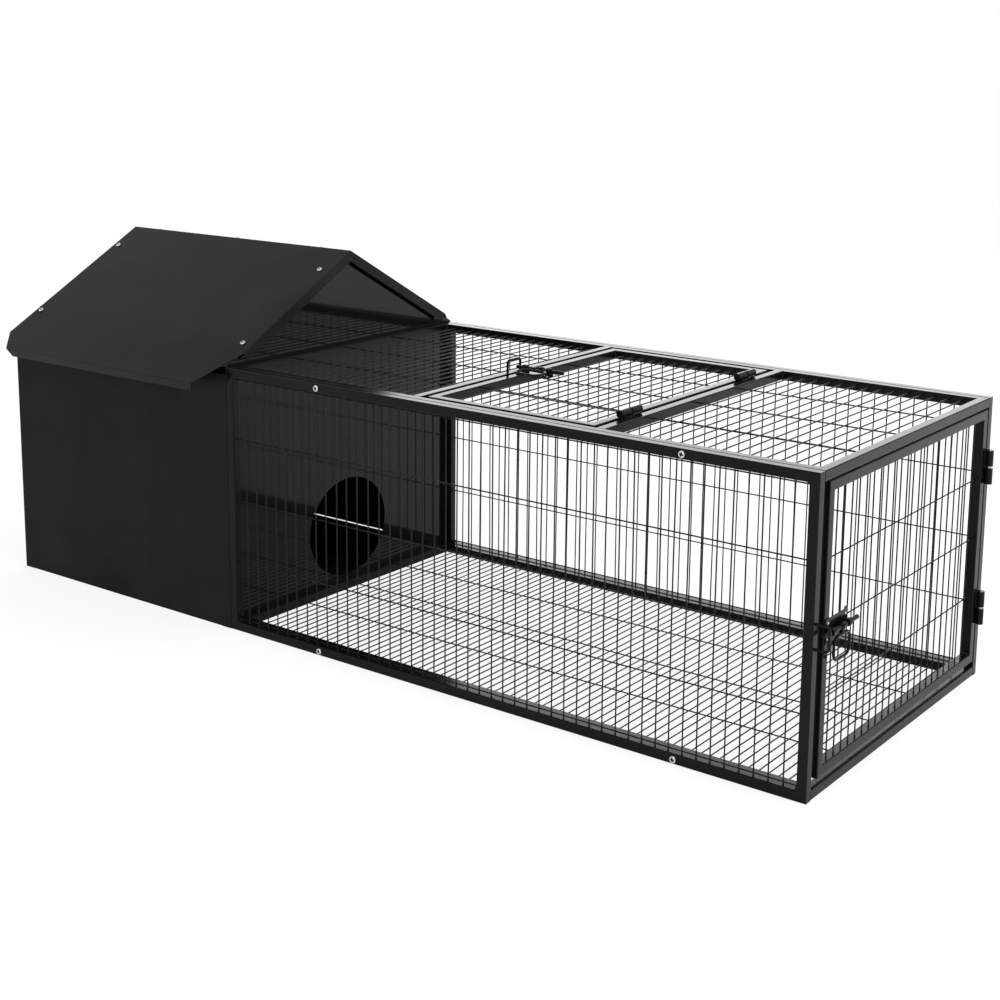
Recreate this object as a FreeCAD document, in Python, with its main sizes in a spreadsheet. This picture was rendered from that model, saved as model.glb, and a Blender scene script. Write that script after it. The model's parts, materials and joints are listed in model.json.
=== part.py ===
import FreeCAD, Part
import os
import re
import Sketcher

# Rabbit cage: a wire run made of tube-framed mesh panels, with a gabled sheet house at its left end.
# X runs along the cage from the house to the door, -Y is the front long side, Z is up.
# The origin is the centre of the whole part's footprint, on the floor.

doc = FreeCAD.newDocument("rabbit_cage")
sizes = doc.addObject("Spreadsheet::Sheet", "sizes")

# Driving dimensions, in millimetres
DIMENSIONS = (
    # overall
    ("run_length", "1000"),
    ("house_length", "512"),
    ("cage_width", "550"),
    ("cage_height", "420"),
    ("ridge_rise", "155"),
    # tube frames and wire mesh
    ("tube_size", "14"),
    ("tube_wall", "1.2"),
    ("mitre_gap", "0.05"),
    ("wire_diameter", "2"),
    ("wire_gap", "0.1"),
    ("mesh_pitch", "20.8"),
    ("floor_pitch", "14.2"),
    ("border_slit", "2.6"),
    ("cut_overrun", "1"),
    # screws that join the panels, and the rivet nuts that they turn into
    ("screw_setback", "189"),
    ("screw_diameter", "5"),
    ("screw_length", "22"),
    ("screw_head_diameter", "10"),
    ("screw_head_height", "3.6"),
    ("screw_clearance", "0.05"),
    ("nut_diameter", "7"),
    ("nut_length", "9"),
    ("nut_collar_diameter", "9.6"),
    ("nut_collar_height", "2"),
    # sheet house
    ("sheet_gauge", "1"),
    ("wall_flange", "15"),
    ("wall_lift", "2.5"),
    ("wall_top_drop", "10.5"),
    ("gable_flange", "20"),
    ("floor_margin", "4"),
    ("hole_width", "188"),
    ("hole_height", "168"),
    ("hole_centre_height", "104"),
    ("sheet_screw_diameter", "4"),
    ("sheet_screw_length", "8"),
    ("sheet_screw_head_diameter", "9"),
    ("sheet_screw_head_height", "3.4"),
    ("wall_screw_low", "60"),
    ("wall_screw_setback", "80"),
    # roof
    ("eave_overhang", "45"),
    ("eave_drop", "21"),
    ("rake_overhang", "4"),
    ("run_overhang", "10"),
    ("lip_depth", "16"),
    ("lip_mitre", "7"),
    ("gable_clip_length", "35"),
    ("gable_clip_slope", "41"),
    ("run_clip_length", "41"),
    ("run_clip_slope", "84"),
    ("roof_screw_upper", "60"),
    ("roof_screw_lower", "260"),
    ("ridge_strip_wing", "25"),
    ("ridge_strip_gap", "1"),
    ("ridge_screw_setback", "6.5"),
    ("ridge_screw_margin", "38"),
    # roof hatch in the top panel, and the end door
    ("hatch_setback", "370"),
    ("hatch_length", "286"),
    ("hatch_gap", "7"),
    ("door_latch_gap", "15"),
    ("door_hinge_gap", "2"),
    ("door_bottom_gap", "9"),
    ("door_top_gap", "2"),
    # bullet hinges
    ("barrel_diameter", "11"),
    ("knuckle_length", "23.5"),
    ("knuckle_gap", "3"),
    ("hinge_pin_diameter", "6"),
    ("hinge_pin_depth", "19"),
    ("hinge_clearance", "0.05"),
    ("barrel_standoff", "0.3"),
    ("hinge_tab_width", "10"),
    ("hinge_tab_thickness", "3"),
    ("door_hinge_spread", "106"),
    ("hatch_hinge_spread", "160"),
    # sliding latches
    ("hatch_latch_offset", "14"),
    ("door_latch_rise", "1"),
    ("plate_length", "60"),
    ("plate_above", "15"),
    ("plate_below", "17"),
    ("plate_gauge", "1.5"),
    ("plate_inset", "2"),
    ("plate_tab", "8"),
    ("plate_tab_rise", "3"),
    ("bolt_diameter", "6"),
    ("bolt_height", "7.5"),
    ("bolt_tail", "78"),
    ("bolt_standoff", "4"),
    ("bolt_clearance", "0.05"),
    ("guide_length", "8"),
    ("guide_radius", "5"),
    ("front_guide_setback", "8"),
    ("rear_guide_setback", "52"),
    ("collar_diameter", "9"),
    ("collar_length", "2.5"),
    ("ring_eye_diameter", "10"),
    ("ring_eye_length", "8"),
    ("ring_eye_setback", "36"),
    ("ring_eye_play", "0.1"),
    ("ring_wire", "4"),
    ("ring_length", "48"),
    ("ring_depth", "34.5"),
    ("ring_corner", "11"),
    ("ring_start", "10.5"),
    ("keeper_wire", "4"),
    ("keeper_width", "32"),
    ("keeper_reach", "18"),
    ("keeper_corner", "5"),
)

# Sizes and places that follow from the driving dimensions
DERIVED = {
    "seam_x": "(house_length + rake_overhang - run_length - keeper_reach - keeper_wire / 2) / 2",
    "end_x": "seam_x + run_length",
    "gable_x": "seam_x - house_length",
    "front_y": "-cage_width / 2",
    "back_y": "cage_width / 2",
    "inner_front_y": "front_y + tube_size",
    "inner_width": "cage_width - 2 * tube_size",
    "top_rail_z": "cage_height - tube_size",
    "ridge_height": "cage_height + ridge_rise",
    "eave_height": "cage_height - eave_drop",
    "wall_height": "cage_height - wall_lift - wall_top_drop",
    "wall_screw_high": "cage_height - wall_screw_setback",
    "wire_radius": "wire_diameter / 2",
    "wire_step": "wire_diameter + wire_gap",
    "close_wire_offset": "tube_size / 2 - wire_step / 2",
    "screw_hole": "screw_diameter + 2 * screw_clearance",
    "nut_hole": "nut_diameter + 2 * screw_clearance",
    "sheet_hole": "sheet_screw_diameter + 2 * screw_clearance",
    "roof_run": "cage_width / 2 + eave_overhang",
    "roof_rise": "ridge_height - eave_height",
    "slope_length": "sqrt(roof_run ^ 2 + roof_rise ^ 2)",
    "slope_cos": "roof_run / slope_length",
    "slope_sin": "roof_rise / slope_length",
    "slope_tan": "roof_rise / roof_run",
    "sheet_drop": "sheet_gauge / slope_cos",
    "apex_z": "ridge_height - sheet_drop",
    "shoulder_z": "apex_z - slope_tan * cage_width / 2",
    "roof_length": "house_length + rake_overhang + run_overhang",
    "wall_screw_y": "cage_width / 2 - tube_size / 2",
    "hatch_x": "seam_x + hatch_setback",
    "hatch_end_x": "hatch_x + hatch_length",
    "hatch_y": "inner_front_y + tube_size + hatch_gap",
    "hatch_width": "inner_width - 2 * tube_size - 2 * hatch_gap",
    "door_y": "inner_front_y + door_latch_gap",
    "door_width": "inner_width - door_latch_gap - door_hinge_gap",
    "door_z": "tube_size + door_bottom_gap",
    "door_height": "cage_height - 2 * tube_size - door_bottom_gap - door_top_gap",
    "barrel_radius": "barrel_diameter / 2",
    "hinge_offset": "barrel_radius + barrel_standoff",
    "collar_reach": "ring_eye_length / 2 + ring_eye_play + collar_length",
}

CROSS_WIRES = 3
BOTH_SIDES = (-1, 1)

X = (1, 0, 0)
Y = (0, 1, 0)
Z = (0, 0, 1)
MINUS_X = (-1, 0, 0)
MINUS_Y = (0, -1, 0)
MINUS_Z = (0, 0, -1)

for row, (alias, value) in enumerate(DIMENSIONS, start=1):
    sizes.set(f"A{row}", value)
    sizes.setAlias(f"A{row}", alias)
doc.recompute()

ALIASES = {alias for alias, value in DIMENSIONS}
nodes = {}


def formula(text):
    """Turns words of the tables above into an expression on the sheet's cells."""

    def word(match):
        name = match.group(0)
        if name in DERIVED:
            return "(" + formula(DERIVED[name]) + ")"
        return "sizes." + name if name in ALIASES else name

    return re.sub(r"[a-z][a-z_0-9]*", word, text)


def number(text):
    """The present value of a formula."""
    value = sizes.evalExpression(formula(text))
    return float(getattr(value, "Value", value))


def bind(item, prop, text):
    item.setExpression(prop, formula(text))


def moved(base, *moves):
    """Formulas of a point that is moved from base by (direction, distance formula) pairs."""
    point = []
    for axis in range(3):
        terms = [base[axis]]
        for direction, distance in moves:
            if direction[axis]:
                sign = "+" if direction[axis] > 0 else "-"
                terms.append(f"{sign} ({distance})")
        point.append(" ".join(terms))
    return tuple(point)


def place(item, point, rotation=None):
    """Puts an object at a point given by three formulas."""
    item.Placement = FreeCAD.Placement(FreeCAD.Vector(), rotation or FreeCAD.Rotation())
    for axis, text in zip("xyz", point):
        bind(item, f"Placement.Base.{axis}", text)


def cross(a, b):
    return (a[1] * b[2] - a[2] * b[1], a[2] * b[0] - a[0] * b[2], a[0] * b[1] - a[1] * b[0])


def turned(x_axis, y_axis):
    """Rotation that takes the local X and Y axes to two given directions."""
    z_axis = cross(x_axis, y_axis)
    return FreeCAD.Rotation(*(FreeCAD.Vector(*axis) for axis in (x_axis, y_axis, z_axis)), "XYZ")


def pointing(direction):
    """Rotation that takes the local Z axis to a direction."""
    return FreeCAD.Rotation(FreeCAD.Vector(*Z), FreeCAD.Vector(*direction))


def node(name, item):
    """Names a finished sub-part."""
    item.Label = name
    nodes[name] = item
    return item


def group(name, items):
    """Names a sub-part made of several separate solids."""
    compound = doc.addObject("Part::Compound", name)
    compound.Links = items
    return node(name, compound)


def new_body(name):
    return doc.addObject("PartDesign::Body", name)


def new_sketch(body, plane, offset):
    """Empty sketch on one of the body's origin planes."""
    sketch = body.newObject("Sketcher::SketchObject", body.Name + "_sketch")
    support = [item for item in body.Origin.OriginFeatures if item.Role == plane]
    sketch.AttachmentSupport = (support[0], "")
    sketch.MapMode = "FlatFace"
    if offset:
        bind(sketch, "AttachmentOffset.Base.z", offset)
    return sketch


def fix_point(sketch, geometry, position, x, y):
    """Ties one point of a sketch to two formulas."""
    for kind, text in (("DistanceX", x), ("DistanceY", y)):
        index = sketch.addConstraint(Sketcher.Constraint(kind, -1, 1, geometry, position, number(text)))
        bind(sketch, f"Constraints[{index}]", text)


def outline(body, plane, *loops, offset=None):
    """Sketch of closed outlines, each through points given as pairs of formulas."""
    sketch = new_sketch(body, plane, offset)
    for loop in loops:
        corners = [FreeCAD.Vector(number(x), number(y), 0) for x, y in loop]
        first = sketch.GeometryCount
        for index, corner in enumerate(corners):
            sketch.addGeometry(Part.LineSegment(corner, corners[(index + 1) % len(corners)]), False)
        for index, (x, y) in enumerate(loop):
            following = first + (index + 1) % len(loop)
            sketch.addConstraint(Sketcher.Constraint("Coincident", first + index, 2, following, 1))
            fix_point(sketch, first + index, 1, x, y)
    return sketch


def circles(body, plane, spots, diameter, offset=None):
    """Sketch of equal circles at points given as pairs of formulas."""
    sketch = new_sketch(body, plane, offset)
    for x, y in spots:
        centre = FreeCAD.Vector(number(x), number(y), 0)
        index = sketch.addGeometry(Part.Circle(centre, FreeCAD.Vector(*Z), number(diameter) / 2), False)
        fix_point(sketch, index, 3, x, y)
        datum = sketch.addConstraint(Sketcher.Constraint("Diameter", index, number(diameter)))
        bind(sketch, f"Constraints[{datum}]", diameter)
    return sketch


def pad(body, sketch, length, backwards=False):
    feature = body.newObject("PartDesign::Pad", body.Name + "_pad")
    feature.Profile = sketch
    feature.Reversed = backwards
    bind(feature, "Length", length)
    return feature


def pocket(body, sketch, length=None, backwards=False):
    """Cuts a sketch out of a body, right through where no length is given."""
    feature = body.newObject("PartDesign::Pocket", body.Name + "_pocket")
    feature.Profile = sketch
    feature.Reversed = backwards
    if length:
        bind(feature, "Length", length)
    else:
        feature.Type = "ThroughAll"
    return feature


def revolve(body, sketch):
    feature = body.newObject("PartDesign::Revolution", body.Name + "_turn")
    feature.Profile = sketch
    feature.ReferenceAxis = (sketch, ["V_Axis"])
    feature.Angle = 360
    return feature


def rectangle(x0, y0, x1, y1):
    return [(x0, y0), (x1, y0), (x1, y1), (x0, y1)]


def cylinder(name, radius, height, point, direction=Z):
    item = doc.addObject("Part::Cylinder", name)
    bind(item, "Radius", radius)
    bind(item, "Height", height)
    place(item, point, pointing(direction))
    return item


def box(name, length, width, height, point):
    item = doc.addObject("Part::Box", name)
    bind(item, "Length", length)
    bind(item, "Width", width)
    bind(item, "Height", height)
    place(item, point)
    return item


def cut(name, base, tools):
    """Base with tools taken out of it."""
    feature = doc.addObject("Part::Cut", name)
    feature.Base = base
    if len(tools) == 1:
        feature.Tool = tools[0]
    else:
        feature.Tool = doc.addObject("Part::Compound", name + "_tools")
        feature.Tool.Links = tools
    return feature


def fuse(name, items):
    feature = doc.addObject("Part::MultiFuse", name)
    feature.Shapes = items
    return feature


# Square tube frames

def mitred_tube(name, length, through=(), edge=(), edge_hole="nut_hole"):
    """Square tube along X with both ends mitred, its long edge on the X axis."""
    body = new_body(name)
    end = f"{length} - mitre_gap"
    long_edge = [("mitre_gap", "0"), (end, "0")]
    short_edge = [(f"{end} - tube_size", "tube_size"), ("mitre_gap + tube_size", "tube_size")]
    pad(body, outline(body, "XY_Plane", long_edge + short_edge), "tube_size")
    inside = [
        ("tube_wall - cut_overrun", "tube_wall"),
        (f"{length} - tube_wall + cut_overrun", "tube_wall"),
        (f"{length} - tube_size + tube_wall + cut_overrun", "tube_size - tube_wall"),
        ("tube_size - tube_wall - cut_overrun", "tube_size - tube_wall"),
    ]
    hollow = outline(body, "XY_Plane", inside, offset="tube_wall")
    pocket(body, hollow, "tube_size - 2 * tube_wall", backwards=True)
    if through:
        spots = [(distance, "tube_size / 2") for distance in through]
        pocket(body, circles(body, "XY_Plane", spots, "screw_hole"), backwards=True)
    if edge:
        spots = [(distance, "tube_size / 2") for distance in edge]
        pocket(body, circles(body, "XZ_Plane", spots, edge_hole), "tube_size / 2")
    return body


def straight_tube(name, length, point, direction):
    """Square tube with square ends, between two rails."""
    body = new_body(name)
    outer = rectangle("0", "0", "tube_size", "tube_size")
    inner_edge = "tube_size - tube_wall"
    inner = rectangle("tube_wall", "tube_wall", inner_edge, inner_edge)
    pad(body, outline(body, "XY_Plane", outer, inner), length)
    place(body, point, turned(Z, X) if direction == Y else pointing(direction))
    return body


def frame_tubes(name, corner, across, up, width, height, holes=None):
    """Four mitred tubes round a panel, whose depth points along across x up."""
    holes = holes or {}
    sides = (
        ("lower", corner, across, up, width),
        ("right", moved(corner, (across, width)), up, tuple(-v for v in across), height),
        ("upper", moved(corner, (across, width), (up, height)), tuple(-v for v in across),
         tuple(-v for v in up), width),
        ("left", moved(corner, (up, height)), tuple(-v for v in up), across, height),
    )
    tubes = []
    for side, start, along, inward, length in sides:
        tube = mitred_tube(f"{name}_{side}", length, **holes.get(side, {}))
        place(tube, start, turned(along, inward))
        tubes.append(tube)
    return tubes


def mesh(name, corner, across, up, width, height, pitch, inward, border=False):
    """Welded mesh in an opening: close wires along up, and a few cross wires behind them.

    A border adds a cross wire close to each of the two rails that the close wires reach.
    """
    close_count = int(number(width) / number(pitch))
    wires = []
    for index in range(1, close_count + 1):
        step = f"({width}) * {index} / {close_count + 1}"
        start = moved(corner, (across, step))
        wires.append(cylinder(f"{name}_close_{index}", "wire_radius", height, start, up))
    steps = [f"({height}) * {index} / {CROSS_WIRES + 1}" for index in range(1, CROSS_WIRES + 1)]
    if border:
        steps += ["border_slit + wire_radius", f"{height} - border_slit - wire_radius"]
    for index, step in enumerate(steps, 1):
        start = moved(corner, (up, step), (inward, "wire_step"))
        wires.append(cylinder(f"{name}_cross_{index}", "wire_radius", width, start, across))
    return group(name, wires)


panel_screws = ("screw_setback", "run_length - screw_setback")
post_screws = ("cage_height - wall_screw_high", "cage_height - wall_screw_low")
side_holes = {
    "lower": {"through": panel_screws},
    "upper": {"through": panel_screws},
    "left": {"edge": post_screws, "edge_hole": "sheet_hole"},
}
flat_holes = {"lower": {"edge": panel_screws}, "upper": {"edge": panel_screws}}

front_corner = ("seam_x", "inner_front_y", "0")
back_corner = ("seam_x", "back_y", "0")
top_corner = ("seam_x", "inner_front_y", "top_rail_z")
floor_corner = ("seam_x", "inner_front_y", "0")
opening_length = "run_length - 2 * tube_size"
opening_height = "cage_height - 2 * tube_size"

# Front and back panels of the run
side_panels = (
    ("front", front_corner, "front_y + close_wire_offset", Y),
    ("back", back_corner, "back_y - close_wire_offset", MINUS_Y),
)
for side, corner, wire_y, inward in side_panels:
    name = f"{side}_panel_frame"
    group(name, frame_tubes(name, corner, X, Z, "run_length", "cage_height", side_holes))
    mesh_corner = ("seam_x + tube_size", wire_y, "tube_size")
    mesh(f"{side}_panel_mesh", mesh_corner, X, Z, opening_length, opening_height, "mesh_pitch", inward, True)

# Top panel, with two cross rails that leave room for the hatch
top_tubes = frame_tubes("top_panel_frame", top_corner, X, Y, "run_length", "inner_width", flat_holes)
cross_length = "inner_width - 2 * tube_size"
left_rail_x = "hatch_x - hatch_gap - tube_size"
right_rail_x = "hatch_end_x + hatch_gap"
cross_y = "inner_front_y + tube_size"
for side, rail_x in (("left", left_rail_x), ("right", right_rail_x)):
    rail = straight_tube(f"top_cross_rail_{side}", cross_length, (rail_x, cross_y, "top_rail_z"), Y)
    top_tubes.append(rail)
group("top_panel_frame", top_tubes)
top_wire_z = "cage_height - close_wire_offset"
left_span = "hatch_setback - hatch_gap - 2 * tube_size"
right_span = "run_length - hatch_setback - hatch_length - hatch_gap - 2 * tube_size"
left_corner = ("seam_x + tube_size", cross_y, top_wire_z)
right_corner = (f"{right_rail_x} + tube_size", cross_y, top_wire_z)
mesh("top_mesh_left", left_corner, X, Y, left_span, cross_length, "mesh_pitch", MINUS_Z)
mesh("top_mesh_right", right_corner, X, Y, right_span, cross_length, "mesh_pitch", MINUS_Z)

# Floor panel, with closer wires for small feet
group("floor_panel_frame",
      frame_tubes("floor_panel_frame", floor_corner, X, Y, "run_length", "inner_width", flat_holes))
floor_mesh_corner = ("seam_x + tube_size", cross_y, "tube_size - close_wire_offset")
mesh("floor_panel_mesh", floor_mesh_corner, X, Y, opening_length, cross_length, "floor_pitch", MINUS_Z)

# Hatch and door leaves
hatch_corner = ("hatch_x", "hatch_y", "top_rail_z")
group("hatch_frame", frame_tubes("hatch_frame", hatch_corner, X, Y, "hatch_length", "hatch_width"))
hatch_mesh_corner = ("hatch_x + tube_size", "hatch_y + tube_size", top_wire_z)
mesh("hatch_mesh", hatch_mesh_corner, X, Y, "hatch_length - 2 * tube_size",
     "hatch_width - 2 * tube_size", "mesh_pitch", MINUS_Z)
door_corner = ("end_x - tube_size", "door_y", "door_z")
group("door_frame", frame_tubes("door_frame", door_corner, Y, Z, "door_width", "door_height"))
door_mesh_corner = ("end_x - close_wire_offset", "door_y + tube_size", "door_z + tube_size")
mesh("door_mesh", door_mesh_corner, Y, Z, "door_width - 2 * tube_size",
     "door_height - 2 * tube_size", "mesh_pitch", MINUS_X)


# Screws and rivet nuts

HEAD_RIM_SHARE = "0.45"
HEAD_CROWN_SHARE = "0.62"


def screw(name, prefix, length, point, direction):
    """Pan-head screw whose head stands on a surface and points along direction."""
    body = new_body(name)
    shank = f"{prefix}_diameter / 2"
    head = f"{prefix}_head_diameter / 2"
    rise = f"{prefix}_head_height"
    profile = [
        ("0", f"-({length})"),
        (shank, f"-({length})"),
        (shank, "0"),
        (head, "0"),
        (head, f"{rise} * {HEAD_RIM_SHARE}"),
        (f"{head} * {HEAD_CROWN_SHARE}", rise),
        ("0", rise),
    ]
    revolve(body, outline(body, "XZ_Plane", profile))
    place(body, point, pointing(direction))
    return body


def rivet_nut(name, point, direction):
    """Threaded sleeve set in a tube's wall, with its collar behind the wall."""
    body = new_body(name)
    bore = "screw_hole / 2"
    sleeve = "nut_diameter / 2"
    collar = "nut_collar_diameter / 2"
    collar_end = "-tube_wall - nut_collar_height"
    profile = [
        (bore, "0"),
        (bore, "-nut_length"),
        (sleeve, "-nut_length"),
        (sleeve, collar_end),
        (collar, collar_end),
        (collar, "-tube_wall"),
        (sleeve, "-tube_wall"),
        (sleeve, "0"),
    ]
    revolve(body, outline(body, "XZ_Plane", profile))
    place(body, point, pointing(direction))
    return body


for side, outer_y, outward in (("front", "front_y", MINUS_Y), ("back", "back_y", Y)):
    inward = tuple(-v for v in outward)
    screws = []
    nuts = []
    for index, distance in enumerate(panel_screws):
        for level, height in (("low", "tube_size / 2"), ("high", "cage_height - tube_size / 2")):
            head_point = (f"seam_x + {distance}", outer_y, height)
            tag = f"{side}_{level}_{index}"
            screws.append(screw(f"panel_screw_{tag}", "screw", "screw_length", head_point, outward))
            nut_point = moved(head_point, (inward, "tube_size"))
            nuts.append(rivet_nut(f"rivet_nut_{tag}", nut_point, outward))
    group(f"{side}_panel_screws", screws)
    group(f"{side}_rivet_nuts", nuts)


# Sheet house: end walls

wall_screw_places = []
for screw_y in ("-(wall_screw_y)", "wall_screw_y"):
    for screw_z in ("wall_screw_low", "wall_screw_high"):
        wall_screw_places.append((screw_y, screw_z))


def roof_place(x, distance, side):
    """Point on the roof's outer face, a slope distance below the ridge, and the way out there."""
    point = (x, f"{side} * ({distance}) * slope_cos", f"ridge_height - ({distance}) * slope_sin")
    outward = (0, side * number("slope_sin"), number("slope_cos"))
    return point, outward


def roof_holes(name, x_places, distances, sides):
    """Drills for the roof's screws, square to each slope."""
    drills = []
    for x in x_places:
        for distance in distances:
            for side in sides:
                point, outward = roof_place(x, distance, side)
                inward = tuple(-v for v in outward)
                depth = "2 * sheet_gauge + 2 * cut_overrun"
                start = tuple(f"{p} + ({v}) * cut_overrun" for p, v in zip(point, outward))
                tag = f"{name}_drill_{len(drills)}"
                drills.append(cylinder(tag, "sheet_hole / 2", depth, start, inward))
    return drills


gable_screw_x = "gable_x + gable_flange / 2"
partition_screw_x = "seam_x - gable_flange / 2"
slope_distances = ("roof_screw_upper", "roof_screw_lower")


def oval_rod(name, width, height, length, start):
    """Rod along X with an oval section, as wide along Y and as high along Z as said."""
    rim = doc.addObject("Part::Ellipse", name + "_rim")
    bind(rim, "MajorRadius", f"{width} / 2")
    bind(rim, "MinorRadius", f"{height} / 2")
    rod = doc.addObject("Part::Extrusion", name)
    rod.Base = rim
    rod.DirMode = "Custom"
    rod.Dir = FreeCAD.Vector(*Z)
    rod.Solid = True
    bind(rod, "LengthFwd", length)
    place(rod, start, turned(Y, Z))
    return rod


def end_wall(name, x, screw_x, backwards, hole):
    """Five-sided wall with flanges under the roof and under the floor sheet."""
    body = new_body(name + "_sheet")
    wall = [
        ("front_y", "0"),
        ("back_y", "0"),
        ("back_y", "shoulder_z"),
        ("0", "apex_z"),
        ("front_y", "shoulder_z"),
    ]
    pad(body, outline(body, "YZ_Plane", wall), "sheet_gauge", backwards)
    roof_flange = [
        ("front_y", "shoulder_z"),
        ("front_y", "shoulder_z - sheet_drop"),
        ("0", "apex_z - sheet_drop"),
        ("back_y", "shoulder_z - sheet_drop"),
        ("back_y", "shoulder_z"),
        ("0", "apex_z"),
    ]
    pad(body, outline(body, "YZ_Plane", roof_flange), "gable_flange", backwards)
    floor_flange = rectangle("front_y", "0", "back_y", "sheet_gauge")
    pad(body, outline(body, "YZ_Plane", floor_flange), "gable_flange", backwards)
    pocket(body, circles(body, "YZ_Plane", wall_screw_places, "sheet_hole"), backwards=not backwards)
    place(body, (x, "0", "0"))
    tools = roof_holes(name, (screw_x,), slope_distances, BOTH_SIDES)
    if hole:
        start = (f"{x} - sheet_gauge - cut_overrun", "0", "hole_centre_height")
        tools = tools + [oval_rod(name + "_hole", "hole_width", "hole_height",
                                  "sheet_gauge + 2 * cut_overrun", start)]
    node(name, cut(name, body, tools))


end_wall("house_gable_wall", "gable_x", gable_screw_x, False, False)
end_wall("house_partition_wall", "seam_x", partition_screw_x, True, True)


# Sheet house: long walls and floor

def face_towards(feature, direction):
    """Name of a feature's flat face that looks in a direction."""
    wanted = FreeCAD.Vector(*direction)
    for index, face in enumerate(feature.Shape.Faces, start=1):
        if face.normalAt(0, 0).dot(wanted) > 1 - FreeCAD.Base.Precision.angular():
            return f"Face{index}"
    raise ValueError("no face looks that way")


def long_wall(name, start, along):
    """Wall sheet with flanges folded in at its two ends and its top."""
    body = new_body(name)
    length = "house_length - 2 * sheet_gauge"
    block = pad(body, outline(body, "XY_Plane", rectangle("0", "0", length, "wall_height")), "wall_flange")
    doc.recompute()
    shell = body.newObject("PartDesign::Thickness", name + "_fold")
    shell.Base = (block, [face_towards(block, MINUS_Z), face_towards(block, MINUS_Y)])
    shell.Reversed = True
    bind(shell, "Value", "sheet_gauge")
    heights = ("wall_screw_low - wall_lift", "wall_screw_high - wall_lift")
    spots = [(height, "wall_flange - tube_size / 2") for height in heights]
    pocket(body, circles(body, "YZ_Plane", spots, "sheet_hole"), backwards=True)
    place(body, start, turned(along, Z))
    node(name, body)


long_wall("house_front_wall", ("gable_x + sheet_gauge", "front_y + wall_flange", "wall_lift"), X)
long_wall("house_back_wall", ("seam_x - sheet_gauge", "back_y - wall_flange", "wall_lift"), MINUS_X)

floor_body = new_body("house_floor")
floor_sheet = rectangle("gable_x + sheet_gauge", "front_y + floor_margin",
                        "seam_x - sheet_gauge", "back_y - floor_margin")
pad(floor_body, outline(floor_body, "XY_Plane", floor_sheet), "sheet_gauge")
place(floor_body, ("0", "0", "sheet_gauge"))
node("house_floor", floor_body)


# Roof

def roof_panel(name, side):
    """Folded roof sheet: clipped lower corners, and lips at both rakes and the eave."""
    body = new_body(name + "_sheet")
    trim = "sheet_gauge * slope_tan"
    gable_reach = "slope_length - gable_clip_slope"
    run_reach = "slope_length - run_clip_slope"
    if side < 0:
        clips = ("gable_clip_length", "run_clip_length")
        reaches = (gable_reach, run_reach)
        along = X
        start_x = "gable_x - rake_overhang"
    else:
        clips = ("run_clip_length", "gable_clip_length")
        reaches = (run_reach, gable_reach)
        along = MINUS_X
        start_x = "seam_x + run_overhang"
    eave_start = clips[0]
    eave_end = f"roof_length - {clips[1]}"
    sheet = [
        ("0", trim),
        ("roof_length", trim),
        ("roof_length", reaches[1]),
        (eave_end, "slope_length"),
        (eave_start, "slope_length"),
        ("0", reaches[0]),
    ]
    pad(body, outline(body, "XY_Plane", sheet), "sheet_gauge")
    for offset, reach in (("0", reaches[0]), ("roof_length - sheet_gauge", reaches[1])):
        lip = [("0", "0"), (reach, "0"), (reach, "lip_depth"), ("lip_depth * slope_tan", "lip_depth")]
        pad(body, outline(body, "YZ_Plane", lip, offset=offset), "sheet_gauge")
    eave_lip = [
        (eave_start, "0"),
        (eave_end, "0"),
        (f"{eave_end} - lip_mitre", "lip_depth"),
        (f"{eave_start} + lip_mitre", "lip_depth"),
    ]
    pad(body, outline(body, "XZ_Plane", eave_lip, offset="-slope_length"), "sheet_gauge")
    down = (0, side * number("slope_cos"), -number("slope_sin"))
    place(body, (start_x, "0", "ridge_height"), turned(along, down))
    screw_x_places = (gable_screw_x, partition_screw_x)
    drills = roof_holes(name, screw_x_places, slope_distances, (side,))
    if side > 0:
        drills += roof_holes(name + "_ridge", ridge_screw_places, ("ridge_screw_setback",), (side,))
    node(name, cut(name, body, drills))


strip_start = "gable_x + gable_flange + ridge_strip_gap"
strip_length = "house_length - 2 * gable_flange - 2 * ridge_strip_gap"
ridge_screw_places = (
    f"{strip_start} + ridge_screw_margin",
    f"{strip_start} + ({strip_length}) / 2",
    f"{strip_start} + {strip_length} - ridge_screw_margin",
)
roof_panel("roof_front_panel", -1)
roof_panel("roof_back_panel", 1)

# Folded strip under the ridge, fixed to the front panel and screwed to the back one
strip_body = new_body("ridge_strip_sheet")
strip_reach = "ridge_strip_wing * slope_cos"
strip_edge = "apex_z - ridge_strip_wing * slope_sin"
strip = [
    (f"-({strip_reach})", strip_edge),
    (f"-({strip_reach})", f"{strip_edge} - sheet_drop"),
    ("0", "apex_z - sheet_drop"),
    (strip_reach, f"{strip_edge} - sheet_drop"),
    (strip_reach, strip_edge),
    ("0", "apex_z"),
]
pad(strip_body, outline(strip_body, "YZ_Plane", strip), strip_length)
place(strip_body, (strip_start, "0", "0"))
strip_drills = roof_holes("ridge_strip", ridge_screw_places, ("ridge_screw_setback",), (1,))
node("ridge_strip", cut("ridge_strip", strip_body, strip_drills))

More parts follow.
